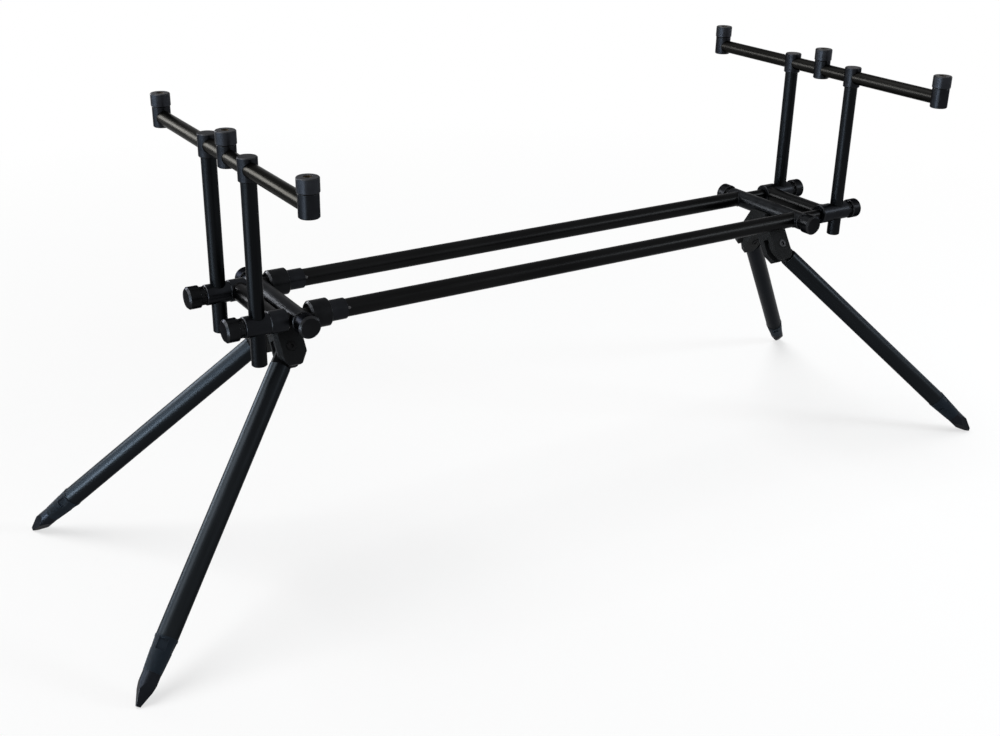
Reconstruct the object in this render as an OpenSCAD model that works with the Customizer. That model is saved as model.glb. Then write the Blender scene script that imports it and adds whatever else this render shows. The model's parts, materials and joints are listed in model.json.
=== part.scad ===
// Twin-bar rod pod for three rods: telescopic main bars, two crossbars with folding legs
// and a goalpost of adjustable height at each end.
// Millimetres, +Z up, +X from the locking-ring end to the other end, +Y to the far side.
// The origin is on the ground, midway between the two crossbars.

/* [Main bars] */
// Distance between the two main bars, axis to axis
bar_spacing = 104; // [90:1:150]
// Distance between the two crossbars, axis to axis, with the left frame pushed in
crossbar_gap = 678; // [600:1:800]
// Outside diameter of a main tube
main_d = 19; // [18.5:0.5:22]
// Outside diameter of an inner tube
inner_d = 16; // [15:0.5:16.5]
// Length of an inner tube
inner_len = 400; // [300:5:500]
// Outside diameter of a carriage rod
rod_d = 13; // [10:0.5:14]
// Length of a carriage rod on the left
left_rod_len = 210; // [150:5:300]
// Length of a carriage rod on the right
right_rod_len = 160; // [120:5:240]
// Length of the guide bush on a right rod
bush_len = 8; // [4:1:20]
// Diameter of the seat that a guide bush sits on
bush_seat_d = 9; // [6:0.5:9.5]

/* [Locking rings] */
// Wall of the sleeve on the main tube
sleeve_wall = 1.5; // [1:0.25:3]
// Length of sleeve that shows past the ring
sleeve_show = 18.5; // [10:0.5:30]
// Wall of the locking ring over the sleeve
ring_wall = 3.2; // [2:0.2:6]
// Length of the locking ring
ring_len = 22; // [18:0.5:30]
// Length of the lip at the front of the ring
ring_lip = 4; // [2:0.5:6]
// Distance from the front of the ring to the end of the main tube
tube_set = 12; // [10:0.5:16]
// Gap between the left crossbar and the locking rings, pushed in
ring_gap = 1; // [0.5:0.25:5]
// Width of the split in a collet
collet_split = 2; // [1:0.25:4]
// Diameter of the rivet behind the sleeve
rivet_d = 3; // [2:0.25:4]
// How far the rivet stands out from the main tube, and its gap to the sleeve
rivet_proud = 0.5; // [0.25:0.05:1]
// Angle of the rivet round the bar from its top, in degrees
rivet_turn = 70; // [0:5:90]

/* [Crossbars] */
// Wall of a crossbar round the inner tube's socket
crossbar_wall = 2.5; // [1.5:0.25:5]
// Length of crossbar past the bar's axis
crossbar_end = 13; // [11:0.5:24]
// Depth of crossbar between its axis and the inner tube's end
socket_seat = 4.5; // [2:0.25:6]

/* [Clamp knobs] */
// How far a knob's cap stands out from the holder
knob_proud = 1; // [0.5:0.25:3]
// Length of a knob's cap
knob_len = 14; // [9:0.5:20]
// How far a knob's neck is set in from the holder
neck_inset = 1; // [0.5:0.25:2]
// Length of a knob's neck
neck_len = 6; // [3:0.5:10]
// Diameter of a knob's stem
stem_d = 8; // [5:0.5:10]
// Chamfer on the inner rims of the turned parts
rim_chamfer = 0.8; // [0.3:0.1:1.4]
// Broken edge where two turned parts meet
fine_chamfer = 0.4; // [0.2:0.1:0.8]
// Chamfer on the outer rims of the knobs and the locking rings
cap_chamfer = 2; // [0.8:0.1:3]
// Number of notches round a knob's neck
notch_count = 8; // [6:1:12]
// Width of a notch round a knob's neck
notch_w = 3.5; // [1.5:0.25:4.5]
// Depth of a notch round a knob's neck
notch_depth = 1.2; // [0.5:0.1:2]
// Length of plain neck before the notches
notch_start = 1.5; // [0.5:0.25:3]

/* [Carriages] */
// Wall of a holder round the upright
holder_wall = 3; // [2:0.25:5]
// Length of holder outside the upright's axis
holder_out = 15; // [12:0.5:25]
// How far the tee collar stands out from the holder
tee_proud = 0.75; // [0.25:0.25:2]
// Distance from the upright's axis to the tee collar's inner face
tee_in = 30; // [26:0.5:40]
// Length of the tee collar
tee_len = 19; // [15:0.5:22]
// Depth of the rod's socket in the tee collar
rod_socket = 15; // [8:0.5:18]
// Outside diameter of the brace between the holders
brace_d = 19; // [12:0.5:22]
// Wall of the brace
brace_wall = 2; // [1:0.25:4]
// Gap between crossbar and tee collar on the left, pushed in
left_rest_gap = 2; // [1:0.5:20]
// Gap between crossbar and tee collar on the right, pulled out
right_rest_gap = 29.5; // [1:0.5:60]

/* [Goalposts] */
// Outside diameter of an upright
upright_d = 16; // [12:0.5:18]
// Wall of an upright
upright_wall = 1.5; // [1:0.25:3]
// Thickness of the plug that closes the bottom of an upright
upright_floor = 3; // [1:0.5:10]
// Length from the buzz bar's axis to the bottom of an upright
upright_len = 201; // [150:1:260]
// Height of the left buzz bar over the main bars
left_bar_rise = 158; // [120:1:175]
// Height of the right buzz bar over the main bars
right_bar_rise = 171; // [130:1:178]
// Outside diameter of a buzz bar
buzz_d = 15.5; // [12:0.5:18]
// Wall of a buzz bar
buzz_wall = 1.5; // [1:0.25:3]
// Distance between two heads, axis to axis
head_pitch = 188; // [140:1:240]
// Wall of a collar round the upright
collar_wall = 2; // [1.25:0.25:4]
// Height of a collar over and under the buzz bar's axis
collar_half = 12; // [10:0.5:18]

/* [Heads] */
// Wall of a head beside the buzz bar
head_wall = 2; // [1.25:0.25:4]
// Depth of a head under the buzz bar's axis
head_under = 10.5; // [9.5:0.25:16]
// Height of a head over the buzz bar's axis
head_over = 12; // [10.5:0.25:18]
// How far the buzz bar's end goes past the outer head's axis
bar_in_head = 4; // [0:0.5:6]
// How far a head ring stands out from the head
ring_proud = 0.75; // [0:0.25:2]
// Height of a head ring
headring_h = 13.5; // [10:0.5:20]
// Chamfer on the top rim of a head ring
headring_chamfer = 0.8; // [0.4:0.1:2]
// Diameter of the spigot under a head ring
spigot_d = 12; // [10:0.5:15]
// Height of the spigot under a head ring
spigot_h = 3; // [1.5:0.25:5]
// Core diameter of the thread for the alarm
thread_core_d = 8.3; // [5:0.1:9.5]

/* [Leg blocks] */
// Tilt of a leg's swing plane away from upright, in degrees
arm_tilt = 32.5; // [20:0.5:45]
// Drop from the crossbar's axis to the line where the two swing planes meet
arm_root_drop = 5; // [2:0.5:10]
// Distance from that line to the pivot
pivot_reach = 45.7; // [42:0.1:60]
// Radius of a fork's cheeks about the pivot
cheek_r = 21; // [17:0.5:26]
// Distance from the pivot to the front and rear edges of a cheek
cheek_half = 15; // [13.5:0.5:18]
// Thickness of a cheek
cheek_t = 7.5; // [4:0.5:10]
// Width of the bevel along the outer edge of a fork
cheek_bevel = 4; // [1:0.5:6]
// Slope of a fork's front and rear corners, seen from the pivot, in degrees
fork_side = 28; // [10:1:40]
// Slope of a fork's two lowest corners, seen from the pivot, in degrees
fork_low = 70; // [60:1:85]
// How far an arm runs past the line where the swing planes meet
fork_root = 4; // [0:0.5:10]
// Drop from the crossbar's axis to the top of the block
saddle_drop = 2; // [0:0.5:5]
// Thickness of the block's outer lip beside the crossbar
saddle_lip = 1; // [0.5:0.1:1.5]
// Gap under the brace where it passes over the block
shelf_gap = 1.5; // [0.5:0.25:4]
// Diameter of the pivot bolt
bolt_d = 6; // [4:0.5:8]
// Diameter of the bolt's head
bolt_head_d = 10; // [8:0.5:13]
// Height of the bolt's head
bolt_head_h = 3; // [2:0.25:5]
// How far the bolt's head stands out from the cheek
bolt_proud = 0.5; // [0.25:0.25:1.5]
// Diameter of the screw that holds the block to the crossbar
saddle_screw_d = 5; // [3:0.5:6]
// Diameter of that screw's head
saddle_head_d = 9; // [7:0.5:10]
// Height of that screw's head
saddle_head_h = 4; // [2:0.5:6]
// Thickness of block between the crossbar and the screw's head
saddle_web = 10; // [6:0.5:12]

/* [Legs] */
// Angle of a leg under the outward direction of the bars, in degrees
leg_angle = 52; // [40:0.5:65]
// Outside diameter of a leg tube
leg_d = 22; // [18:0.5:25]
// Wall of a leg tube
leg_wall = 1.5; // [1:0.25:3]
// Length of a leg tube
leg_tube_len = 290.5; // [200:0.5:400]
// Gap between a fork's cheeks and the shoulder of the leg
shoulder_gap = 1; // [0.5:0.1:3]
// Thickness of the knuckle's tongue
tongue_t = 8; // [5:0.5:10]
// How far the tongue is set in from the leg tube
tongue_inset = 1; // [0:0.25:2]
// Length of the plugs in a leg tube
plug_len = 20; // [10:1:40]
// How far a foot sleeve stands out from the leg tube
foot_proud = 0.5; // [0.25:0.25:2]
// Length of a foot sleeve
foot_len = 34.5; // [20:0.5:60]
// Diameter of the lower end of a foot sleeve
foot_low_d = 18.5; // [15:0.25:20]
// Depth of the pockets in a foot sleeve
pocket_depth = 1.6; // [1.2:0.1:2.5]
// Distance from the top of a foot sleeve to its pockets
pocket_start = 2.5; // [1.5:0.5:12]
// Width of the pockets in a foot sleeve
pocket_w = 9; // [4:0.5:10]
// Length of the pockets in a foot sleeve
pocket_len = 11; // [6:0.5:18]
// Turn of the pockets about the leg, away from its swing plane, in degrees
pocket_turn = 22.5; // [0:0.5:45]
// Length of a spike
spike_len = 33; // [20:0.5:60]
// Length of a spike above its flats
spike_collar = 9; // [5:0.5:15]
// Diameter of a spike
spike_d = 18; // [14:0.25:20]
// Width of the blunt tip
tip_w = 4; // [2:0.25:8]
// Diameter of the shank that holds a spike
shank_d = 8; // [5:0.5:10]
// Length of the shank that holds a spike
shank_len = 18; // [10:0.5:30]
// Height of the tip's middle over the ground
tip_lift = 0.9; // [0.2:0.1:2]

/* [Clearances] */
// Gap all round between a sliding or turning part and its bore
run_clear = 0.05; // [0.02:0.01:0.1]
// Gap between faces that pass each other
side_clear = 0.3; // [0.2:0.05:1]

/* [Hidden] */
$fn = 96;
// How far a cut runs past the faces it goes through
cut = 1;
// How far two shapes of one solid run into each other
lap = 1;
// Gap that keeps the tongue's neck inside the leg tube's bore
neck_margin = 0.4;
LEFT = -1;
RIGHT = 1;
NEAR = -1;
FAR = 1;
bar_y = bar_spacing / 2;
half_gap = crossbar_gap / 2;
main_bore = inner_d + 2 * run_clear;
inner_bore = rod_d + 2 * run_clear;
bush_d = main_bore - 2 * run_clear;
crossbar_d = inner_d + 2 * crossbar_wall;
crossbar_half = bar_y + crossbar_end;
sleeve_d = main_d + 2 * sleeve_wall;
ring_cavity_d = sleeve_d + 2 * side_clear;
ring_d = ring_cavity_d + 2 * ring_wall;
ring_bore = inner_d + 2 * side_clear;
ring_x = -half_gap + crossbar_d / 2 + ring_gap;
tube_x = ring_x + tube_set;
collet_bore = inner_d + 2 * run_clear;
holder_d = upright_d + 2 * holder_wall;
holder_bore = upright_d + 2 * run_clear;
tee_d = holder_d + 2 * tee_proud;
knob_d = holder_d + 2 * knob_proud;
neck_d = holder_d - 2 * neck_inset;
stem_bore = stem_d + 2 * run_clear;
brace_x = tee_in - tee_len / 2;
left_upright_x = crossbar_d / 2 + left_rest_gap + tee_in;
right_upright_x = crossbar_d / 2 + right_rest_gap + tee_in;
collar_d = upright_d + 2 * collar_wall;
head_d = buzz_d + 2 * head_wall;
headring_d = head_d + 2 * ring_proud;
spigot_bore = spigot_d + 2 * run_clear;
slot_w = tongue_t + 2 * side_clear;
arm_t = slot_w + 2 * cheek_t;
tongue_r = leg_d / 2 - tongue_inset;
slot_floor = tongue_r + side_clear;
shoulder = cheek_r + shoulder_gap;
leg_bore = leg_d - 2 * leg_wall;
plug_d = leg_bore - 2 * run_clear;
neck_w = 2 * sqrt(pow(plug_d / 2 - neck_margin, 2) - pow(tongue_t / 2, 2));
bolt_bore = bolt_d + 2 * run_clear;
bolt_base = arm_t / 2 - bolt_head_h + bolt_proud;
saddle_seat = -crossbar_d / 2 - saddle_web;
saddle_shelf = max(crossbar_d, brace_d) / 2 + shelf_gap;
foot_top_d = leg_d + 2 * foot_proud;
leg_reach = shoulder + leg_tube_len + foot_len + spike_len;
pivot_drop = arm_root_drop + pivot_reach * cos(arm_tilt);
main_z = tip_lift + leg_reach * sin(leg_angle) * cos(arm_tilt) + pivot_drop;
foot_taper = atan((foot_top_d - foot_low_d) / 2 / foot_len);
flat_tilt = atan((spike_d - tip_w) / 2 / (spike_len - spike_collar));
LEGS = [
    ["left_near", LEFT, NEAR],
    ["left_far", LEFT, FAR],
    ["right_near", RIGHT, NEAR],
    ["right_far", RIGHT, FAR]
];
HEADS = [
    ["near", -1],
    ["mid", 0],
    ["far", 1]
];
ENDS = [
    ["left", LEFT],
    ["right", RIGHT]
];
FIXED_NODES = [
    "main_tubes", "collet_sleeves", "collets", "sleeve_rivets",
    "right_crossbar", "right_leg_block", "right_block_fasteners",
    "left_crossbar", "left_leg_block", "left_block_fasteners", "inner_tubes",
    "left_rods", "right_rods", "right_bushes", "locking_ring_near", "locking_ring_far"
];
LEG_PARTS = ["knuckle", "leg_tube", "foot_sleeve", "spike"];
END_PARTS = ["holders", "brace", "uprights", "collars", "buzz_bar", "heads"];
LEG_NODES = [for (leg = LEGS) for (part = LEG_PARTS) str(leg[0], "_", part)];
KNOB_NODES = [for (leg = LEGS) for (part = ["holder_knob", "crossbar_knob"]) str(leg[0], "_", part)];
END_NODES = [for (end = ENDS) for (part = END_PARTS) str(end[0], "_", part)];
RING_NODES = [for (end = ENDS) for (head = HEADS) str(end[0], "_", head[0], "_head_ring")];

// Round bar along X from x0 to x1
module round_x(d, x0, x1) {
    translate([x0, 0, 0])
        rotate([0, 90, 0])
            cylinder(d = d, h = x1 - x0);
}

// Round bar along Y from y0 to y1
module round_y(d, y0, y1) {
    translate([0, y0, 0])
        rotate([-90, 0, 0])
            cylinder(d = d, h = y1 - y0);
}

// Round bar along Z from z0 to z1
module round_z(d, z0, z1) {
    translate([0, 0, z0])
        cylinder(d = d, h = z1 - z0);
}

// Turned disc along Z from z0 to z1 with chamfers at its lower and upper rim
module turned(d, z0, z1, low, high) {
    rotate_extrude()
        polygon([
            [0, z0],
            [d / 2 - low, z0],
            [d / 2, z0 + low],
            [d / 2, z1 - high],
            [d / 2 - high, z1],
            [0, z1]
        ]);
}

// Frame of one end: origin on the crossbar's axis, +X outwards
module end_frame(end) {
    translate([end * half_gap, 0, main_z])
        rotate([0, 0, end < 0 ? 180 : 0])
            children();
}

// Both main-bar axes
module both_bars() {
    for (y = [-bar_y, bar_y])
        translate([0, y, 0])
            children();
}

// Frame of one leg's swing plane: origin at the pivot, Z up the arm, Y across the plane
module arm_frame(s) {
    translate([0, 0, -arm_root_drop])
        rotate([s * arm_tilt, 0, 0])
            translate([0, 0, -pivot_reach])
                children();
}

// Frame of one leg: origin at the pivot, +Z down the leg
module leg_frame(end, side) {
    end_frame(end)
        arm_frame(end * side)
            rotate([0, 90 + leg_angle, 0])
                children();
}

// Frame of one upright: origin on the main bar's level, +X outwards
module upright_frame(end, side) {
    end_frame(end)
        translate([end < 0 ? left_upright_x : right_upright_x, end * side * bar_y, 0])
            children();
}

// Frame of one goalpost: origin at the middle of the buzz bar
module goalpost_frame(end) {
    end_frame(end)
        translate([
            end < 0 ? left_upright_x : right_upright_x,
            0,
            end < 0 ? left_bar_rise : right_bar_rise
        ])
            children();
}

module main_tubes() {
    color("#1b1b1d")
        translate([0, 0, main_z])
            both_bars()
                difference() {
                    round_x(main_d, tube_x, half_gap);
                    round_x(main_bore, tube_x - cut, half_gap + cut);
                    rivet_body(main_bore / 2 - cut, main_d);
                    translate([half_gap, 0, 0])
                        round_y(crossbar_d, -crossbar_half, crossbar_half);
                }
}

// Rivet's shank, from radius r0 to radius r1
module rivet_body(r0, r1) {
    translate([ring_x + ring_len + sleeve_show + rivet_d / 2 + rivet_proud, 0, 0])
        rotate([rivet_turn, 0, 0])
            round_z(rivet_d, r0, r1);
}

module sleeve_rivets() {
    color("#8b8d90")
        translate([0, 0, main_z])
            both_bars()
                rivet_body(main_bore / 2 + side_clear, main_d / 2 + rivet_proud);
}

module collet_sleeves() {
    color("#141416")
        translate([0, 0, main_z])
            both_bars()
                difference() {
                    round_x(sleeve_d, tube_x, ring_x + ring_len + sleeve_show);
                    round_x(main_d, tube_x - cut, ring_x + ring_len + sleeve_show + cut);
                }
}

module collets() {
    color("#3a3a3c")
        translate([0, 0, main_z])
            both_bars()
                difference() {
                    round_x(sleeve_d, ring_x + ring_lip + side_clear, tube_x);
                    round_x(collet_bore, ring_x, tube_x + cut);
                    translate([ring_x, -collet_split / 2, 0])
                        cube([tube_set + cut, collet_split, sleeve_d]);
                }
}

module locking_ring(side) {
    color("#101012")
        translate([ring_x, side * bar_y, main_z])
            rotate([0, 90, 0])
                difference() {
                    turned(ring_d, 0, ring_len, cap_chamfer, rim_chamfer);
                    round_z(ring_bore, -cut, ring_len + cut);
                    round_z(ring_cavity_d, ring_lip, ring_len + cut);
                }
}

// Crossbar with bores for the rods and the knobs' stems
module crossbar_body() {
    difference() {
        rotate([-90, 0, 0])
            turned(crossbar_d, -crossbar_half, crossbar_half, rim_chamfer, rim_chamfer);
        both_bars()
            round_x(inner_bore, -crossbar_d, crossbar_d);
        round_y(stem_bore, bar_y, crossbar_half + cut);
        round_y(stem_bore, -crossbar_half - cut, -bar_y);
        round_z(saddle_screw_d, -crossbar_d, 0);
    }
}

module right_crossbar() {
    color("#1b1b1d")
        end_frame(RIGHT)
            crossbar_body();
}

module left_crossbar() {
    color("#1b1b1d")
        end_frame(LEFT)
            difference() {
                crossbar_body();
                both_bars()
                    round_x(inner_d, -crossbar_d, -socket_seat);
            }
}

module inner_tubes() {
    color("#222224")
        end_frame(LEFT)
            both_bars()
                difference() {
                    round_x(inner_d, -socket_seat - inner_len, -socket_seat);
                    round_x(inner_bore, -socket_seat - inner_len - cut, 0);
                }
}

// Outline of a fork in its swing plane, from the pivot up to the root
module fork_outline() {
    polygon([
        [cheek_half, pivot_reach + fork_root],
        [cheek_half, -cheek_half * tan(fork_side)],
        [cheek_r * cos(fork_low), -cheek_r * sin(fork_low)],
        [-cheek_r * cos(fork_low), -cheek_r * sin(fork_low)],
        [-cheek_half, -cheek_half * tan(fork_side)],
        [-cheek_half, pivot_reach + fork_root]
    ]);
}

// One arm of a block, without its slot
module arm_body() {
    difference() {
        rotate([90, 0, 0])
            translate([0, 0, -arm_t / 2])
                linear_extrude(height = arm_t)
                    fork_outline();
        for (s = [-1, 1])
            translate([cheek_half, s * arm_t / 2, 0])
                rotate([0, 0, 45])
                    cube([cheek_bevel * sqrt(2), cheek_bevel * sqrt(2), 4 * pivot_reach], center = true);
    }
}

// What is cut from one arm: the slot, the bolt's bore and the two recesses
module arm_cut() {
    translate([-2 * cheek_r, -slot_w / 2, slot_floor - 4 * cheek_r])
        cube([4 * cheek_r, slot_w, 4 * cheek_r]);
    round_y(bolt_d, -arm_t, arm_t);
    round_y(bolt_head_d + 2 * side_clear, bolt_base, arm_t);
    round_y(bolt_head_d + 2 * side_clear, -arm_t, -bolt_base);
}

module leg_block() {
    difference() {
        for (s = [-1, 1])
            arm_frame(s)
                arm_body();
        for (s = [-1, 1])
            arm_frame(s)
                arm_cut();
        translate([-2 * cheek_r, -crossbar_half, -saddle_drop])
            cube([4 * cheek_r, 2 * crossbar_half, 4 * cheek_r]);
        translate([crossbar_d / 2 + saddle_lip, -crossbar_half, -saddle_shelf])
            cube([2 * cheek_r, 2 * crossbar_half, 4 * cheek_r]);
        round_y(crossbar_d, -crossbar_half, crossbar_half);
        round_z(saddle_screw_d, -pivot_drop, 0);
        round_z(saddle_head_d + 2 * side_clear, -pivot_drop, saddle_seat);
    }
}

module right_leg_block() {
    color("#161617")
        end_frame(RIGHT)
            leg_block();
}

module left_leg_block() {
    color("#161617")
        end_frame(LEFT)
            leg_block();
}

// Hexagonal bar along Y with its middle at y, as high as a bolt's head
module hexagon_y(d, y) {
    translate([0, y, 0])
        rotate([90, 0, 0])
            cylinder(d = d, h = bolt_head_h, center = true, $fn = 6);
}

// Pivot bolt along Y: a socket head at +Y, and the end flush with the cheek at -Y
module pivot_bolt() {
    round_y(bolt_d, -arm_t / 2, bolt_base + lap / 2);
    difference() {
        round_y(bolt_head_d, bolt_base, bolt_base + bolt_head_h);
        hexagon_y(bolt_head_d / 2, bolt_base + bolt_head_h);
    }
}

// Nut on the end of a pivot bolt
module pivot_nut() {
    difference() {
        hexagon_y(bolt_head_d, -bolt_base - bolt_head_h / 2);
        round_y(bolt_bore, -arm_t, 0);
    }
}

// Pivot bolts, nuts and the saddle screw of one block
module block_fasteners() {
    for (s = [-1, 1])
        arm_frame(s)
            rotate([0, 0, 90 - 90 * s]) {
                pivot_bolt();
                pivot_nut();
            }
    round_z(saddle_screw_d, saddle_seat - lap, -crossbar_d / 4);
    round_z(saddle_head_d, saddle_seat - saddle_head_h, saddle_seat);
}

module right_block_fasteners() {
    color("#55575a")
        end_frame(RIGHT)
            block_fasteners();
}

module left_block_fasteners() {
    color("#55575a")
        end_frame(LEFT)
            block_fasteners();
}

// Side view of the knuckle's tongue with its stop heel, in the arm's frame
module tongue_outline() {
    circle(r = tongue_r);
    square([tongue_r, tongue_r]);
    rotate(-leg_angle) {
        translate([0, -tongue_r])
            square([shoulder, 2 * tongue_r]);
        translate([0, -neck_w / 2])
            square([shoulder + plug_len / 2, neck_w]);
    }
}

module knuckle(end, side) {
    color("#161617")
        difference() {
            union() {
                end_frame(end)
                    arm_frame(end * side)
                        rotate([90, 0, 0])
                            translate([0, 0, -tongue_t / 2])
                                linear_extrude(height = tongue_t)
                                    tongue_outline();
                leg_frame(end, side)
                    round_z(plug_d, shoulder, shoulder + plug_len);
            }
            end_frame(end)
                arm_frame(end * side)
                    round_y(bolt_bore, -tongue_t, tongue_t);
        }
}

module leg_tube(end, side) {
    color("#1d1f22")
        leg_frame(end, side)
            difference() {
                round_z(leg_d, shoulder, shoulder + leg_tube_len);
                round_z(leg_bore, shoulder - cut, shoulder + leg_tube_len + cut);
            }
}

module foot_sleeve(end, side) {
    color("#22252a")
        leg_frame(end, side)
            translate([0, 0, shoulder + leg_tube_len])
                difference() {
                    union() {
                        round_z(plug_d, -plug_len, lap);
                        cylinder(d1 = foot_top_d, d2 = foot_low_d, h = foot_len);
                    }
                    round_z(shank_d, foot_len - shank_len, foot_len + cut);
                    for (a = [0 : 90 : 270])
                        rotate([0, 0, a + end * side * pocket_turn])
                            translate([foot_top_d / 2, -pocket_w / 2, 0])
                                rotate([0, -foot_taper, 0])
                                    translate([-pocket_depth, 0, pocket_start])
                                        cube([foot_top_d, pocket_w, pocket_len]);
                }
}

module spike(end, side) {
    color("#17181a")
        difference() {
            leg_frame(end, side)
                translate([0, 0, leg_reach - spike_len]) {
                    round_z(shank_d, -shank_len, lap);
                    difference() {
                        round_z(spike_d, 0, spike_len);
                        for (a = [0 : 90 : 270])
                            rotate([0, 0, a])
                                translate([spike_d / 2, -spike_d, spike_collar])
                                    rotate([0, -flat_tilt, 0])
                                        cube([spike_d, 2 * spike_d, 2 * spike_len]);
                    }
                }
            translate([-crossbar_gap, -crossbar_gap, -100])
                cube([2 * crossbar_gap, 2 * crossbar_gap, 100]);
        }
}

// Clamp knob along +Z: its neck starts at z = 0 and its stem goes down to z = -stem
module knob_body(stem) {
    round_z(stem_d, -stem, neck_len);
    difference() {
        turned(neck_d, side_clear, neck_len + lap, fine_chamfer, 0);
        for (i = [0 : notch_count - 1])
            rotate([0, 0, (i + 0.5) * 360 / notch_count])
                translate([neck_d / 2 - notch_depth, -notch_w / 2, notch_start])
                    cube([neck_d, notch_w, neck_len]);
    }
    turned(knob_d, neck_len, neck_len + knob_len, rim_chamfer, cap_chamfer);
}

module holder_knob(end, side) {
    color("#131315")
        upright_frame(end, side)
            translate([holder_out, 0, 0])
                rotate([0, 90, 0])
                    knob_body(holder_out - upright_d / 2 - side_clear);
}

module crossbar_knob(end, side) {
    color("#131315")
        end_frame(end)
            translate([0, end * side * crossbar_half, 0])
                rotate([-90 * end * side, 0, 0])
                    knob_body(crossbar_end - rod_d / 2 - side_clear);
}

module holders(end) {
    color("#1a1a1c")
        for (side = [NEAR, FAR])
            upright_frame(end, side)
                difference() {
                    union() {
                        rotate([0, 90, 0])
                            turned(holder_d, -tee_in + lap, holder_out, 0, rim_chamfer);
                        rotate([0, 90, 0])
                            turned(tee_d, -tee_in, -tee_in + tee_len, rim_chamfer, rim_chamfer);
                    }
                    round_z(holder_bore, -holder_d, holder_d);
                    round_x(stem_bore, 0, holder_out + cut);
                    round_x(rod_d, -tee_in - cut, -tee_in + rod_socket);
                }
}

module brace(end) {
    color("#1b1b1d")
        end_frame(end)
            translate([(end < 0 ? left_upright_x : right_upright_x) - brace_x, 0, 0])
                difference() {
                    round_y(brace_d, -bar_y, bar_y);
                    round_y(brace_d - 2 * brace_wall, -bar_y - cut, bar_y + cut);
                    both_bars()
                        round_x(tee_d, -tee_in, tee_in);
                }
}

module left_rods() {
    color("#222224")
        end_frame(LEFT)
            translate([left_upright_x - tee_in + rod_socket, 0, 0])
                both_bars()
                    round_x(rod_d, -left_rod_len, 0);
}

module right_rods() {
    color("#222224")
        end_frame(RIGHT)
            translate([right_upright_x - tee_in + rod_socket, 0, 0])
                both_bars() {
                    round_x(rod_d, -right_rod_len + bush_len, 0);
                    round_x(bush_seat_d, -right_rod_len, -right_rod_len + bush_len + lap);
                }
}

// Guide bushes, which fill the main tubes' bores round the thinner rods
module right_bushes() {
    color("#4a4a4c")
        end_frame(RIGHT)
            translate([right_upright_x - tee_in + rod_socket, 0, 0])
                both_bars()
                    difference() {
                        round_x(bush_d, -right_rod_len, -right_rod_len + bush_len);
                        round_x(bush_seat_d, -right_rod_len - cut, -right_rod_len + bush_len + cut);
                    }
}

module uprights(end) {
    color("#1d1f22")
        goalpost_frame(end)
            both_bars()
                difference() {
                    turned(upright_d, -upright_len, -buzz_d / 2 - side_clear, rim_chamfer, 0);
                    round_z(upright_d - 2 * upright_wall, -upright_len + upright_floor, 0);
                }
}

module collars(end) {
    color("#1a1a1c")
        goalpost_frame(end)
            both_bars()
                difference() {
                    turned(collar_d, -collar_half, collar_half, rim_chamfer, rim_chamfer);
                    round_z(upright_d, -collar_half - cut, -buzz_d / 2 + lap);
                    round_y(buzz_d, -collar_d, collar_d);
                }
}

// Outside of a buzz bar, which the heads and collars are bored for
module buzz_envelope() {
    round_y(buzz_d, -head_pitch - bar_in_head, head_pitch + bar_in_head);
}

module buzz_bar(end) {
    color("#2a2623")
        goalpost_frame(end)
            difference() {
                buzz_envelope();
                round_y(buzz_d - 2 * buzz_wall, -2 * head_pitch, 2 * head_pitch);
            }
}

module heads(end) {
    color("#1a1c20")
        goalpost_frame(end)
            difference() {
                for (head = HEADS)
                    translate([0, head[1] * head_pitch, 0]) {
                        turned(head_d, -head_under, head_over, rim_chamfer, fine_chamfer);
                        round_z(spigot_d, 0, head_over + spigot_h);
                    }
                buzz_envelope();
            }
}

module head_ring(end, place) {
    color("#1a1c20")
        goalpost_frame(end)
            translate([0, end * place * head_pitch, head_over + side_clear])
                difference() {
                    turned(headring_d, 0, headring_h, fine_chamfer, headring_chamfer);
                    round_z(thread_core_d, -cut, headring_h + cut);
                    round_z(spigot_bore, -cut, spigot_h);
                }
}

main_tubes();
collet_sleeves();
collets();
sleeve_rivets();
right_crossbar();
right_leg_block();
right_block_fasteners();
left_crossbar();
left_leg_block();
left_block_fasteners();
inner_tubes();
left_rods();
right_rods();
right_bushes();
locking_ring(NEAR);  // locking_ring_near
locking_ring(FAR);  // locking_ring_far
for (leg = LEGS) {
    knuckle(leg[1], leg[2]);
    leg_tube(leg[1], leg[2]);
    foot_sleeve(leg[1], leg[2]);
    spike(leg[1], leg[2]);
    holder_knob(leg[1], leg[2]);
    crossbar_knob(leg[1], leg[2]);
}
for (end = ENDS) {
    holders(end[1]);
    brace(end[1]);
    uprights(end[1]);
    collars(end[1]);
    buzz_bar(end[1]);
    heads(end[1]);
    for (head = HEADS)
        head_ring(end[1], head[1]);
}
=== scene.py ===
import json
import math

import bmesh
import bpy
from mathutils import Matrix, Vector


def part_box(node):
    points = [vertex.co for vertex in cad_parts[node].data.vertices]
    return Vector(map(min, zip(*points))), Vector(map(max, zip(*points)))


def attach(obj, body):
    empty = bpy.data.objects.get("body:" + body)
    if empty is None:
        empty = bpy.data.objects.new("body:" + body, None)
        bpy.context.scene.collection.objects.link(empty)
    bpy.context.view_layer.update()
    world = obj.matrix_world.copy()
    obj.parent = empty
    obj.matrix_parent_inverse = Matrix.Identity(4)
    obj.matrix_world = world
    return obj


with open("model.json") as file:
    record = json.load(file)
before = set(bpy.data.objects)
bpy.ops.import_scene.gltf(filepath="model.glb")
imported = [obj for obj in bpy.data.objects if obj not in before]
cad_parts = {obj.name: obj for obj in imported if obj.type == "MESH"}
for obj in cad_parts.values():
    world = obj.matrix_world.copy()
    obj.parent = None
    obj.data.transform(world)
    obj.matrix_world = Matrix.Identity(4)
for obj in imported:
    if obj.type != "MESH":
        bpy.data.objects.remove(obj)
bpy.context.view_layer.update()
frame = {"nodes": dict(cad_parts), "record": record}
nodes = frame["nodes"]
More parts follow.
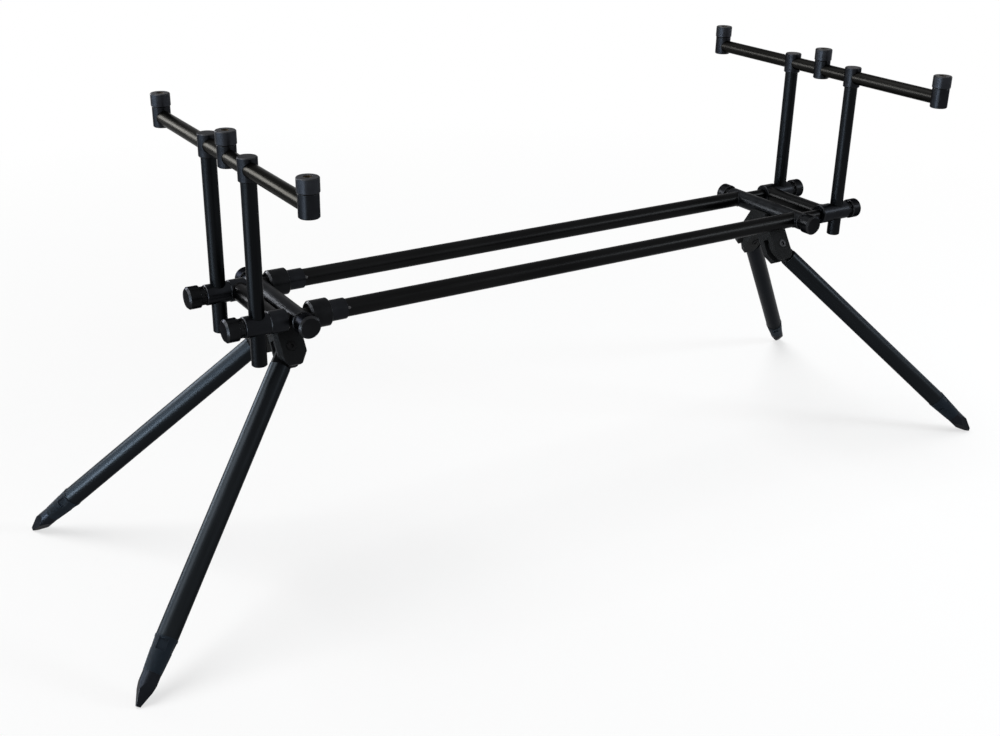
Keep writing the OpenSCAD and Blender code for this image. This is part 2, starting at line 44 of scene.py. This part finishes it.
mounts = frame["record"]["mounts"]

MM = 0.001
ENDS = ("left", "right")
SIDES = {"near": -1, "far": 1}  # each side's sign along Y
HEADS = ("near", "mid", "far")
AXIS_X = Vector((1, 0, 0))
AXIS_Y = Vector((0, 1, 0))
AXIS_Z = Vector((0, 0, 1))


def middle(node):
    """Middle of a CAD node's box."""
    low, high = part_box(node)
    return (low + high) / 2


def half_size(node):
    """Half the size of a CAD node's box, which across a round bar is its radius."""
    low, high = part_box(node)
    return (high - low) / 2


# Node materials: short calls for what the finishes below share

def add(tree, kind, props=None, **inputs):
    """A new shader node with its properties and sockets set; a socket's spaces are written as _."""
    node = tree.nodes.new(kind)
    for key, value in (props or {}).items():
        setattr(node, key, value)
    for key, value in inputs.items():
        put(tree, node.inputs[key.replace("_", " ")], value)
    return node


def put(tree, socket, value):
    """Links a socket to another one, or sets its own value."""
    if isinstance(value, bpy.types.NodeSocket):
        tree.links.new(value, socket)
    else:
        socket.default_value = value


def calc(tree, operation, first, second=0.0):
    """Result of a math operation on two values."""
    node = tree.nodes.new("ShaderNodeMath")
    node.operation = operation
    put(tree, node.inputs[0], first)
    put(tree, node.inputs[1], second)
    return node.outputs[0]


def plus(tree, first, second):
    """Sum of two values."""
    return calc(tree, "ADD", first, second)


def times(tree, first, second):
    """Product of two values."""
    return calc(tree, "MULTIPLY", first, second)


def weigh(tree, first, second, share):
    """A share of first, and the rest of second."""
    return plus(tree, times(tree, first, share), times(tree, second, 1.0 - share))


def dot(tree, first, second):
    """Scalar product of two vectors."""
    node = tree.nodes.new("ShaderNodeVectorMath")
    node.operation = "DOT_PRODUCT"
    put(tree, node.inputs[0], first)
    put(tree, node.inputs[1], second)
    return node.outputs["Value"]


def spread(tree, value, low, high, to_low=0.0, to_high=1.0):
    """Maps low to high onto to_low to to_high, clamped."""
    node = add(tree, "ShaderNodeMapRange", Value=value, From_Min=low, From_Max=high,
               To_Min=to_low, To_Max=to_high)
    return node.outputs["Result"]


def rgba(colour, factor=1.0):
    """Linear colour as four numbers, brighter by a factor."""
    return tuple(channel * factor for channel in colour) + (1.0,)


def blend_colours(tree, factor, first, second):
    """Colour between first, at factor 0, and second, at factor 1."""
    node = add(tree, "ShaderNodeMix", {"data_type": "RGBA"})
    put(tree, node.inputs["Factor"], factor)
    colours = [socket for socket in node.inputs if socket.type == "RGBA"]
    put(tree, colours[0], first)
    put(tree, colours[1], second)
    return next(socket for socket in node.outputs if socket.type == "RGBA")


def noise(tree, vector, scale, detail):
    """Noise from 0 to 1 over a vector in metres; scale is in features per metre, one or three."""
    scales = scale if isinstance(scale, tuple) else (scale, scale, scale)
    stretch = add(tree, "ShaderNodeMapping", Vector=vector, Scale=scales)
    made = add(tree, "ShaderNodeTexNoise", Vector=stretch.outputs["Vector"], Scale=1.0, Detail=detail)
    return made.outputs[0]


def along(tree, axis, centre):
    """Place on the piece, in metres, turned so that X runs along its axis through its centre."""
    place = add(tree, "ShaderNodeTexCoord")
    shifted = add(tree, "ShaderNodeMapping", {"vector_type": "POINT"}, Vector=place.outputs["Object"],
                  Location=-centre)
    turn = axis.rotation_difference(AXIS_X).to_euler()
    turned = add(tree, "ShaderNodeVectorRotate", {"rotation_type": "EULER_XYZ"},
                 Vector=shifted.outputs["Vector"], Rotation=turn)
    return turned.outputs["Vector"]


EDGE_SAMPLES = 6
EDGE_COSINES = (0.985, 0.8)  # between the rounded and the plain normal, where an edge starts and is full


def rounded(tree, radius):
    """Normal with the edges rounded by radius, and a mask that is 1 on those edges."""
    bevel = add(tree, "ShaderNodeBevel", {"samples": EDGE_SAMPLES}, Radius=radius)
    geometry = add(tree, "ShaderNodeNewGeometry")
    alike = dot(tree, bevel.outputs["Normal"], geometry.outputs["Normal"])
    return bevel.outputs["Normal"], spread(tree, alike, *EDGE_COSINES)


CHAMFER_FROM = (0.55, 0.62)  # cosines below that of 45 degrees, over which the mask comes in
CHAMFER_TO = (0.86, 0.79)  # and above it, down to where the mask is full


def chamfers(tree, axis):
    """Mask that is 1 on the faces at 45 degrees to the axis, whichever way the piece is turned."""
    geometry = add(tree, "ShaderNodeNewGeometry")
    local = add(tree, "ShaderNodeVectorTransform",
                {"vector_type": "NORMAL", "convert_from": "WORLD", "convert_to": "OBJECT"},
                Vector=geometry.outputs["True Normal"])
    slope = calc(tree, "ABSOLUTE", dot(tree, local.outputs["Vector"], axis))
    return times(tree, spread(tree, slope, *CHAMFER_FROM), spread(tree, slope, *CHAMFER_TO))


# Bands of noise values, which lie mostly between 0.2 and 0.8, over which a change is made
NARROW_BAND = (0.3, 0.7)
BROAD_BAND = (0.25, 0.75)
FULL_BAND = (0.2, 0.8)


def varied(tree, tone, colour, dark, pale):
    """A colour times dark where the tone is low, and times pale where it is high."""
    return blend_colours(tree, spread(tree, tone, *NARROW_BAND), rgba(colour, dark), rgba(colour, pale))


def uneven(tree, tone, band, roughness, less, more):
    """Roughness that runs from less below its value to more above it as a tone crosses a band."""
    return spread(tree, tone, *band, roughness - less, roughness + more)


def wear(tree, place, edge, scale, band):
    """Patches of the edges, where the dye is rubbed off."""
    return times(tree, edge, spread(tree, noise(tree, place, scale, detail=4.0), *band))


def start(name, metallic, specular, grazing=(1.0, 1.0, 1.0)):
    """Empty material with the values that are the same all over it.

    The colour grazing tints the reflections at low angles."""
    material = bpy.data.materials.new(name)
    material.use_nodes = True
    shader = material.node_tree.nodes["Principled BSDF"]
    shader.inputs["Metallic"].default_value = metallic
    shader.inputs["Specular IOR Level"].default_value = specular
    shader.inputs["Specular Tint"].default_value = rgba(grazing)
    return material, material.node_tree, shader


def close(tree, shader, colour, roughness, height, depth, normal):
    """Links colour, roughness and bump to the shader."""
    bump = add(tree, "ShaderNodeBump", Height=height, Distance=depth, Strength=1.0, Normal=normal)
    put(tree, shader.inputs["Base Color"], colour)
    put(tree, shader.inputs["Roughness"], roughness)
    put(tree, shader.inputs["Normal"], bump.outputs["Normal"])


# Colours, linear. A black metal's colour is its reflection, so it is dark

TUBE = (0.0068, 0.0069, 0.0071)
LEG = (0.0080, 0.0093, 0.0107)
UPRIGHT = (0.0056, 0.0062, 0.0070)
BRONZE = (0.0098, 0.0096, 0.0091)
TURNED = (0.0078, 0.0084, 0.0098)
HEAD_RING = (0.0130, 0.0140, 0.0165)
KNOB = (0.0064, 0.0067, 0.0073)
CROSSBAR = (0.0074, 0.0079, 0.0088)
SPIKE = (0.0072, 0.0082, 0.0102)
RUBBED_TUBE = (0.07, 0.07, 0.075)
RUBBED_TURNED = (0.045, 0.045, 0.048)
# Lighter chamfer colours: partly bare cut metal, partly a painted highlight along the chamfers
RIM_CUT_AND_HIGHLIGHT = (0.02, 0.0205, 0.022)
HOLDER_RIM_CUT_AND_HIGHLIGHT = (0.014, 0.0145, 0.016)

BLOCK = (0.0052, 0.0057, 0.0062)
FOOT = (0.0088, 0.0130, 0.0185)
COLLET = (0.045, 0.045, 0.047)

STEEL = (0.0080, 0.0080, 0.0085)
DULL_STEEL = (0.016, 0.016, 0.0165)
RIVET = (0.05, 0.05, 0.052)
DULL_RIVET = (0.03, 0.03, 0.03)
BRASS = (0.020, 0.0155, 0.010)
DULL_BRASS = (0.030, 0.022, 0.013)

# Tints of the reflections at low angles, which the black dye holds down
DYED_GRAZING = (0.56, 0.56, 0.565)
LEG_GRAZING = (0.5, 0.5, 0.505)
KNOB_GRAZING = (0.43, 0.43, 0.435)
BUZZ_GRAZING = (0.48, 0.48, 0.48)


# Drawn tube. Each scale of noise here and below is in features per metre

DRAW_LINES = (14, 1500, 1500)  # along the tube, and twice across it
DYE_CLOUDS = (9, 45, 45)
TUBE_SPECKS = 2600
TUBE_WEAR = 350
TUBE_WEAR_BAND = (0.42, 0.62)
TUBE_EDGE = 0.5 * MM
TUBE_RELIEF = 0.004 * MM
LINES_IN_TONE = 0.45
SPECKS_IN_GLOSS = 0.06
SPECKS_IN_RELIEF = 0.5


def drawn_tube(name, colour, axis, roughness=0.3, centre=Vector(), grazing=DYED_GRAZING):
    """Anodised drawn tube: faint draw lines along it, cloudy dye, paler rubbed edges."""
    material, tree, shader = start(name, metallic=1.0, specular=0.5, grazing=grazing)
    place = along(tree, axis, centre)
    lines = noise(tree, place, DRAW_LINES, detail=3.0)
    clouds = noise(tree, place, DYE_CLOUDS, detail=4.0)
    specks = noise(tree, place, TUBE_SPECKS, detail=2.0)
    normal, edge = rounded(tree, TUBE_EDGE)
    dyed = varied(tree, weigh(tree, lines, clouds, LINES_IN_TONE), colour, dark=0.72, pale=1.3)
    worn = wear(tree, place, edge, TUBE_WEAR, TUBE_WEAR_BAND)
    shown = blend_colours(tree, worn, dyed, rgba(RUBBED_TUBE))
    smooth = uneven(tree, clouds, BROAD_BAND, roughness, less=0.06, more=0.06)
    gloss = plus(tree, smooth, times(tree, specks, SPECKS_IN_GLOSS))
    height = plus(tree, lines, times(tree, specks, SPECKS_IN_RELIEF))
    close(tree, shader, shown, gloss, height, TUBE_RELIEF, normal)
    return material


# Turned part

TOOL_RINGS = 4200.0
TURNED_CLOUDS = 70
TURNED_WEAR = 420
TURNED_WEAR_BAND = (0.4, 0.6)
TURNED_EDGE = 0.45 * MM
TURNED_RELIEF = 0.008 * MM
RING_TONE = 1.7
RING_SHARE = 0.5
# Where the chamfers' cut metal and painted highlight come in, and how strongly
RIM_CUT_AND_HIGHLIGHT_BAND = (0.2, 0.7)
RIM_CUT_AND_HIGHLIGHT_SHARES = (0.55, 1.0)


def tool_rings(tree, place):
    """Noise that changes along the piece's axis and away from it, as a lathe's tool leaves it."""
    parts = add(tree, "ShaderNodeSeparateXYZ", Vector=place).outputs
    squares = plus(tree, calc(tree, "POWER", parts["Y"], 2.0), calc(tree, "POWER", parts["Z"], 2.0))
    tool = plus(tree, parts["X"], calc(tree, "SQRT", squares))
    made = add(tree, "ShaderNodeTexNoise", {"noise_dimensions": "1D"}, W=tool, Scale=TOOL_RINGS, Detail=2.0)
    return made.outputs[0]


def lathed(name, colour, axis, centre=Vector(), roughness=0.3, rim=RIM_CUT_AND_HIGHLIGHT, grazing=DYED_GRAZING):
    """Anodised turned part: fine tool rings round its axis, chamfers painted lighter as cut metal and as a
    painted highlight, rubbed edges.
    """
    material, tree, shader = start(name, metallic=1.0, specular=0.5, grazing=grazing)
    place = along(tree, axis, centre)
    rings = tool_rings(tree, place)
    clouds = noise(tree, place, TURNED_CLOUDS, detail=4.0)
    normal, edge = rounded(tree, TURNED_EDGE)
    dyed = varied(tree, clouds, colour, dark=0.75, pale=1.3)
    ring_mask = spread(tree, rings, *FULL_BAND, 0.0, RING_SHARE)
    ringed = blend_colours(tree, ring_mask, dyed, rgba(colour, RING_TONE))
    # Chamfers painted lighter: cut metal, and a painted highlight where they would catch the light
    cut_and_highlight = times(tree, chamfers(tree, axis), spread(tree, clouds, *RIM_CUT_AND_HIGHLIGHT_BAND, *RIM_CUT_AND_HIGHLIGHT_SHARES))
    rimmed_and_highlighted = blend_colours(tree, cut_and_highlight, ringed, rgba(rim))
    worn = wear(tree, place, edge, TURNED_WEAR, TURNED_WEAR_BAND)
    shown = blend_colours(tree, worn, rimmed_and_highlighted, rgba(RUBBED_TURNED))
    gloss = uneven(tree, clouds, BROAD_BAND, roughness, less=0.06, more=0.08)
    close(tree, shader, shown, gloss, rings, TURNED_RELIEF, normal)
    return material


# Moulded plastic

MOULD_CLOUDS = 60
MOULD_FLOW = (25, 25, 180)
MOULD_EDGE = 0.6 * MM
MOULD_RELIEF = 0.05 * MM
CLOUDS_IN_TONE = 0.6
PIT_TONE = 1.8
PIT_BAND = (0.45, 0.75)
PIT_SHARE = 0.6
EDGE_TONE = 2.6
EDGE_SHARE = 0.8
EDGE_POLISH = 0.12


def moulded(name, colour, grain, roughness, specular=0.25):
    """Moulded plastic: spark-eroded grain, slow tone changes, slightly polished edges."""
    material, tree, shader = start(name, metallic=0.0, specular=specular)
    place = add(tree, "ShaderNodeTexCoord").outputs["Object"]
    pits = noise(tree, place, grain, detail=3.0)
    clouds = noise(tree, place, MOULD_CLOUDS, detail=4.0)
    flow = noise(tree, place, MOULD_FLOW, detail=2.0)
    normal, edge = rounded(tree, MOULD_EDGE)
    body = varied(tree, weigh(tree, clouds, flow, CLOUDS_IN_TONE), colour, dark=0.75, pale=1.3)
    pit_mask = spread(tree, pits, *PIT_BAND, 0.0, PIT_SHARE)
    speckled = blend_colours(tree, pit_mask, body, rgba(colour, PIT_TONE))
    shown = blend_colours(tree, times(tree, edge, EDGE_SHARE), speckled, rgba(colour, EDGE_TONE))
    rough = uneven(tree, pits, FULL_BAND, roughness, less=0.08, more=0.12)
    gloss = calc(tree, "SUBTRACT", rough, times(tree, edge, EDGE_POLISH))
    close(tree, shader, shown, gloss, pits, MOULD_RELIEF, normal)
    return material


# Plated fastener

PLATE_CLOUDS = 500
PLATE_SCRATCHES = (300, 4000, 900)
PLATE_EDGE = 0.3 * MM
PLATE_RELIEF = 0.01 * MM
BRIGHT_EDGE = 1.5
DULL_BAND = (0.52, 0.72)
DULL_SHARE = 0.7


def plated(name, colour, dull, roughness):
    """Plated fastener: fine scratches, dull patches and bright edges."""
    material, tree, shader = start(name, metallic=1.0, specular=0.5, grazing=DYED_GRAZING)
    place = add(tree, "ShaderNodeTexCoord").outputs["Object"]
    clouds = noise(tree, place, PLATE_CLOUDS, detail=4.0)
    scratches = noise(tree, place, PLATE_SCRATCHES, detail=2.0)
    normal, edge = rounded(tree, PLATE_EDGE)
    dull_mask = spread(tree, clouds, *DULL_BAND, 0.0, DULL_SHARE)
    dulled = blend_colours(tree, dull_mask, rgba(colour), rgba(dull))
    shown = blend_colours(tree, edge, dulled, rgba(colour, BRIGHT_EDGE))
    gloss = uneven(tree, clouds, NARROW_BAND, roughness, less=0.08, more=0.12)
    close(tree, shader, shown, gloss, scratches, PLATE_RELIEF, normal)
    return material


# Which finish each CAD node gets

bar_finish = drawn_tube("bar_anodised", TUBE, AXIS_X)
brace_finish = drawn_tube("brace_anodised", TUBE, AXIS_Y)
upright_finish = drawn_tube("upright_anodised", UPRIGHT, AXIS_Z)
buzz_finish = drawn_tube("buzz_bar_anodised", BRONZE, AXIS_Y, roughness=0.28, grazing=BUZZ_GRAZING)
sleeve_finish = lathed("sleeve_turned", TURNED, AXIS_X)
crossbar_finish = lathed("crossbar_turned", CROSSBAR, AXIS_Y, roughness=0.36)
head_finish = lathed("head_turned", TURNED, AXIS_Z, roughness=0.32, grazing=LEG_GRAZING)
holder_finish = lathed("holder_turned", TURNED, AXIS_X, roughness=0.33, rim=HOLDER_RIM_CUT_AND_HIGHLIGHT)
block_finish = moulded("block_nylon", BLOCK, grain=3200, roughness=0.72, specular=0.08)
foot_finish = moulded("foot_rubber", FOOT, grain=2400, roughness=0.68, specular=0.04)
collet_finish = moulded("collet_nylon", COLLET, grain=5000, roughness=0.45)
rivet_finish = plated("rivet_alloy", RIVET, DULL_RIVET, roughness=0.3)
steel_finish = plated("fastener_steel", STEEL, DULL_STEEL, roughness=0.32)
brass_finish = plated("thread_brass", BRASS, DULL_BRASS, roughness=0.34)

BAR_FINISHES = {
    "main_tubes": bar_finish,
    "inner_tubes": bar_finish,
    "left_rods": bar_finish,
    "right_rods": bar_finish,
    "right_bushes": collet_finish,
    "collets": collet_finish,
    "collet_sleeves": sleeve_finish,
    "sleeve_rivets": rivet_finish,
}
END_FINISHES = {
    "crossbar": crossbar_finish,
    "leg_block": block_finish,
    "block_fasteners": steel_finish,
    "uprights": upright_finish,
    "brace": brace_finish,
    "buzz_bar": buzz_finish,
    "collars": head_finish,
    "heads": head_finish,
    "holders": holder_finish,
}


def paint(node, material):
    """Gives a CAD node one material."""
    slots = nodes[node].data.materials
    slots.clear()
    slots.append(material)


def paint_turned(node, colour, axis, **settings):
    """Gives a CAD node tool rings round its own axis."""
    paint(node, lathed(node + "_turned", colour, axis, middle(node), **settings))


def paint_leg(name):
    """Finishes of one leg: its tube's lines and its spike's rings follow its slanted axis."""
    centre = middle(name + "_leg_tube")
    axis = (middle(name + "_foot_sleeve") - centre).normalized()
    tube_finish = drawn_tube(name + "_leg_anodised", LEG, axis, roughness=0.33, centre=centre,
                             grazing=LEG_GRAZING)
    paint(name + "_leg_tube", tube_finish)
    paint(name + "_knuckle", block_finish)
    paint(name + "_foot_sleeve", foot_finish)
    paint(name + "_spike", lathed(name + "_spike_blacked", SPIKE, axis, centre, roughness=0.36))


for node, finish in BAR_FINISHES.items():
    paint(node, finish)
for end in ENDS:
    for piece, finish in END_FINISHES.items():
        paint(f"{end}_{piece}", finish)
    for head in HEADS:
        paint_turned(f"{end}_{head}_head_ring", HEAD_RING, AXIS_Z, roughness=0.36)
    for side in SIDES:
        paint_leg(f"{end}_{side}")
        paint_turned(f"{end}_{side}_holder_knob", KNOB, AXIS_X, roughness=0.32, grazing=KNOB_GRAZING)
        paint_turned(f"{end}_{side}_crossbar_knob", KNOB, AXIS_Y, roughness=0.32, grazing=KNOB_GRAZING)
for side in SIDES:
    paint_turned(f"locking_ring_{side}", KNOB, AXIS_X, roughness=0.34)


# Pieces that the solids leave out

def new_object(name, mesh_data, material):
    """Object with one material and smooth faces."""
    made = bpy.data.objects.new(name, mesh_data)
    bpy.context.scene.collection.objects.link(made)
    mesh_data.materials.append(material)
    for face in mesh_data.polygons:
        face.use_smooth = True
    return made


def grid_mesh(name, rows):
    """Closed skin over rings of points: each row is one ring, and the last row joins the first."""
    made = bmesh.new()
    rings = [[made.verts.new(point) for point in row] for row in rows]
    count = len(rings[0])
    for i, ring in enumerate(rings):
        following = rings[(i + 1) % len(rings)]
        for j in range(count):
            k = (j + 1) % count
            made.faces.new((ring[j], ring[k], following[k], following[j]))
    bmesh.ops.recalc_face_normals(made, faces=made.faces)
    mesh_data = bpy.data.meshes.new(name)
    made.to_mesh(mesh_data)
    made.free()
    return mesh_data


THREAD_PITCH = 1.27 * MM
THREAD_DEPTH = 0.3 * MM
THREAD_SIDES = 40
THREAD_ROWS_PER_TURN = 8
LINER_SET = 0.25 * MM
LINER_LEAD = 0.6 * MM
LINER_WALL = 0.06 * MM  # from the bore to the bottom of the thread
LINER_GAP = 0.01 * MM  # from the bore to the liner's outside


def thread_liner(name, mount, material):
    """Brass thread insert in a head ring: a sleeve whose inside is a helical thread."""
    top = Vector(mount["pos_m"]) - AXIS_Z * LINER_SET
    bore = mount["dims"]["r_mm"] * MM
    length = mount["dims"]["length_mm"] * MM - 2 * LINER_SET
    steps = round(length / THREAD_PITCH * THREAD_ROWS_PER_TURN)

    def ring(depth, radius_at):
        points = []
        for i in range(THREAD_SIDES):
            turn = i / THREAD_SIDES
            angle = 2 * math.pi * turn
            radius = radius_at(turn)
            points.append(top + Vector((radius * math.cos(angle), radius * math.sin(angle), -depth)))
        return points

    def thread_radius(depth):
        lead_in = min(1.0, min(depth, length - depth) / LINER_LEAD)

        def radius_at(turn):
            phase = (depth / THREAD_PITCH + turn) % 1.0
            ridge = 1.0 - abs(2.0 * phase - 1.0)
            return bore - LINER_WALL - THREAD_DEPTH * lead_in * ridge
        return radius_at

    def outside(turn):
        return bore - LINER_GAP

    depths = [length * i / steps for i in range(steps + 1)]
    rows = [ring(depth, thread_radius(depth)) for depth in depths]
    rows.append(ring(length, outside))
    rows.append(ring(0.0, outside))
    return new_object(name, grid_mesh(name, rows), material)


for mount in mounts:
    head_name = mount["name"].replace("_alarm_thread", "")
    liner = thread_liner(head_name + "_thread_liner", mount, brass_finish)
    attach(liner, head_name + "_head_ring")


BEAD_RADIUS = 0.9 * MM
BEAD_STEPS = 72
BEAD_SIDES = 10
BEAD_RIPPLES = 9
BEAD_RIPPLE_SHARE = 0.07


def saddle_path(run, run_radius, cross, cross_radius, meeting):
    """Line where a tube that comes in along run ends on the side of a tube along cross."""
    third = run.cross(cross)
    path = []
    for i in range(BEAD_STEPS):
        angle = 2 * math.pi * i / BEAD_STEPS
        sideways = run_radius * math.cos(angle)
        over = run_radius * math.sin(angle)
        back = math.sqrt(cross_radius ** 2 - over ** 2)
        path.append(meeting + cross * sideways + third * over - run * back)
    return path


def weld_bead(name, path, meeting, material):
    """Rippled bead along a closed path round the point where two tubes' axes meet."""
    rows = []
    for i, point in enumerate(path):
        forward = (path[(i + 1) % BEAD_STEPS] - path[i - 1]).normalized()
        outward = point - meeting
        outward = (outward - forward * outward.dot(forward)).normalized()
        other = forward.cross(outward)
        ripple = math.sin(BEAD_RIPPLES * 2 * math.pi * i / BEAD_STEPS)
        radius = BEAD_RADIUS * (1.0 + BEAD_RIPPLE_SHARE * ripple)
        angles = [2 * math.pi * j / BEAD_SIDES for j in range(BEAD_SIDES)]
        rows.append([point + (outward * math.cos(a) + other * math.sin(a)) * radius for a in angles])
    return new_object(name, grid_mesh(name, rows), material)


bar_radius = half_size("main_tubes").z
bar_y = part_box("main_tubes")[1].y - bar_radius
bar_z = middle("main_tubes").z
crossbar_radius = half_size("right_crossbar").x
for side, way in SIDES.items():
    meeting = Vector((middle("right_crossbar").x, way * bar_y, bar_z))
    path = saddle_path(AXIS_X, bar_radius, AXIS_Y, crossbar_radius, meeting)
    bead = weld_bead(f"right_{side}_bar_bead", path, meeting, crossbar_finish)
    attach(bead, "main_frame")
for end in ENDS:
    brace_radius = half_size(f"{end}_brace").z
    holder_radius = half_size(f"{end}_holders").z
    for side, way in SIDES.items():
        meeting = Vector((middle(f"{end}_brace").x, way * bar_y, bar_z))
        path = saddle_path(AXIS_Y * way, brace_radius, AXIS_X, holder_radius, meeting)
        bead = weld_bead(f"{end}_{side}_brace_bead", path, meeting, brace_finish)
        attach(bead, f"{end}_carriage")


# Floor and surroundings

FLOOR_SIZE = 16.0
FLOOR_CELLS = 24
FLOOR_COLOUR = (0.93, 0.93, 0.93)
FLOOR_TONES = (0.99, 1.01)
FLOOR_CLOUDS = 3
FLOOR_ROUGHNESS = 0.9
FLOOR_WHITE = 0.66  # share of plain white near the pod
FADE_START = 0.75
FADE_END = 1.9
WHITE = (1.0, 1.0, 1.0)


def shown_white(tree):
    """1 for the rays that show the background: to the camera, in gloss and through glass."""
    path = add(tree, "ShaderNodeLightPath").outputs
    shown = calc(tree, "MAXIMUM", path["Is Camera Ray"], path["Is Glossy Ray"])
    return calc(tree, "MAXIMUM", shown, path["Is Transmission Ray"])


def floor_paper():
    """Pale paper with a trace of tone, which fades to white away from the pod."""
    material, tree, shader = start("floor_paper", metallic=0.0, specular=0.1)
    place = add(tree, "ShaderNodeTexCoord").outputs["Object"]
    tone = noise(tree, place, FLOOR_CLOUDS, detail=2.0)
    dark, pale = (rgba(FLOOR_COLOUR, factor) for factor in FLOOR_TONES)
    put(tree, shader.inputs["Base Color"], blend_colours(tree, tone, dark, pale))
    shader.inputs["Roughness"].default_value = FLOOR_ROUGHNESS
    away = add(tree, "ShaderNodeVectorMath", {"operation": "LENGTH"}, Vector=place).outputs["Value"]
    whiteness = spread(tree, away, FADE_START, FADE_END, FLOOR_WHITE, 1.0)
    white = add(tree, "ShaderNodeEmission", Color=rgba(WHITE), Strength=1.0)
    mixed = add(tree, "ShaderNodeMixShader")
    put(tree, mixed.inputs[0], times(tree, shown_white(tree), whiteness))
    put(tree, mixed.inputs[1], shader.outputs[0])
    put(tree, mixed.inputs[2], white.outputs[0])
    put(tree, tree.nodes["Material Output"].inputs["Surface"], mixed.outputs[0])
    return material


def pale_floor():
    """Seamless floor under the pod."""
    made = bmesh.new()
    bmesh.ops.create_grid(made, x_segments=FLOOR_CELLS, y_segments=FLOOR_CELLS, size=FLOOR_SIZE / 2)
    mesh_data = bpy.data.meshes.new("floor")
    made.to_mesh(mesh_data)
    made.free()
    floor = new_object("floor", mesh_data, floor_paper())


def white_room(strength):
    """Even pale surroundings that light the pod at a strength and show white, also in gloss."""
    world = bpy.data.worlds.new("room")
    bpy.context.scene.world = world
    world.use_nodes = True
    tree = world.node_tree
    background = tree.nodes["Background"]
    background.inputs["Color"].default_value = rgba(WHITE)
    put(tree, background.inputs["Strength"], spread(tree, shown_white(tree), 0.0, 1.0, strength, 1.0))


# Lights: places and sizes in metres, power in watts, beams and angles in degrees

def soft_light(name, place, target, size, power, colour, beam=180.0):
    """Rectangular soft box at place, aimed at target, with a grid that narrows it to a beam."""
    data = bpy.data.lights.new(name, "AREA")
    data.shape = "RECTANGLE"
    data.spread = math.radians(beam)
    data.size, data.size_y = size
    data.energy = power
    data.color = colour
    light = bpy.data.objects.new(name, data)
    light.location = place
    light.rotation_euler = (Vector(target) - Vector(place)).to_track_quat("-Z", "Y").to_euler()
    bpy.context.scene.collection.objects.link(light)
    return light


def reflector(name, **settings):
    """Soft box that shows in gloss only, as a studio's reflector card does."""
    light = soft_light(name, **settings)
    light.visible_diffuse = False
    return light


def flag(light, names):
    """Keeps a light off some CAD nodes, as a black flag in front of it does."""
    shaded = bpy.data.collections.new(light.name + "_flag")
    light.light_linking.receiver_collection = shaded
    for name in names:
        shaded.objects.link(nodes[name])
    for entry in shaded.collection_objects:
        entry.light_linking.link_state = "EXCLUDE"


def even_light(name, direction, strength, angle):
    """Distant light that falls evenly on the whole floor, soft enough to blur the shadows."""
    data = bpy.data.lights.new(name, "SUN")
    data.energy = strength
    data.angle = math.radians(angle)
    light = bpy.data.objects.new(name, data)
    light.rotation_euler = Vector(direction).to_track_quat("-Z", "Y").to_euler()
    bpy.context.scene.collection.objects.link(light)


def studio():
    """Floor, room and lights: the sun, the room and one soft box light it, and cards shape the gloss."""
    pale_floor()
    reflector("window", place=(-1.24, 1.38, 0.72), target=(-0.88, 0.0, 0.42),
              size=(0.95, 0.5), power=18.8, colour=(1.0, 1.0, 0.99), beam=84.0)
    soft_light("right_box", place=(1.75, -1.45, 1.2), target=(0.3, 0.0, 0.25),
               size=(0.6, 0.5), power=16.0, colour=(0.92, 0.97, 1.0))
    left_card = reflector("left_card", place=(-1.95, 0.3, 0.46), target=(-0.4, 0.0, 0.25),
                          size=(1.8, 0.7), power=29.0, colour=(0.70, 0.85, 1.0))
    reflector("top_card", place=(-1.35, 0.15, 1.25), target=(-0.4, 0.0, 0.2),
              size=(0.9, 0.8), power=17.5, colour=(0.97, 0.99, 1.0))
    reflector("low_card", place=(-1.35, -0.15, 0.09), target=(0.0, -0.05, -0.06),
              size=(0.6, 0.16), power=2.0, colour=(0.8, 0.9, 1.0), beam=58.0)
    reflector("right_card", place=(1.95, -0.2, 0.56), target=(0.45, 0.0, 0.15),
              size=(0.35, 0.4), power=7.0, colour=(0.92, 0.96, 1.0))
    reflector("front_card", place=(-1.05, -0.62, 0.2), target=(0.42, -0.1, 0.45),
              size=(0.55, 0.35), power=0.42, colour=(0.8, 0.91, 1.0), beam=40.0)
    flag(left_card, ("main_tubes", "collet_sleeves", "inner_tubes", "left_rods", "right_rods"))
    even_light("even_light", direction=(0.25, -0.3, -1.0), strength=2.0, angle=40.0)
    white_room(strength=0.3)


# Camera

CAMERA_PLACE = Vector((-0.8295, -1.1967, 0.7870))
CAMERA_RIGHT = Vector((0.8462, -0.5326, 0.0178))
CAMERA_FORWARD = Vector((0.4935, 0.7707, -0.4031))
CAMERA_LENS = 47.53
CAMERA_SENSOR = 36.0


def photo_camera():
    """Camera where the photograph was taken from."""
    data = bpy.data.cameras.new("photo_camera")
    data.lens = CAMERA_LENS
    data.sensor_width = CAMERA_SENSOR
    data.sensor_fit = "HORIZONTAL"
    camera = bpy.data.objects.new("photo_camera", data)
    back = -CAMERA_FORWARD.normalized()
    up = back.cross(CAMERA_RIGHT).normalized()
    right = up.cross(back)
    turn = Matrix((right, up, back)).transposed().to_4x4()
    camera.matrix_world = Matrix.Translation(CAMERA_PLACE) @ turn
    bpy.context.scene.collection.objects.link(camera)
    bpy.context.scene.camera = camera


studio()
photo_camera()
bpy.context.scene.view_settings.view_transform = "Standard"
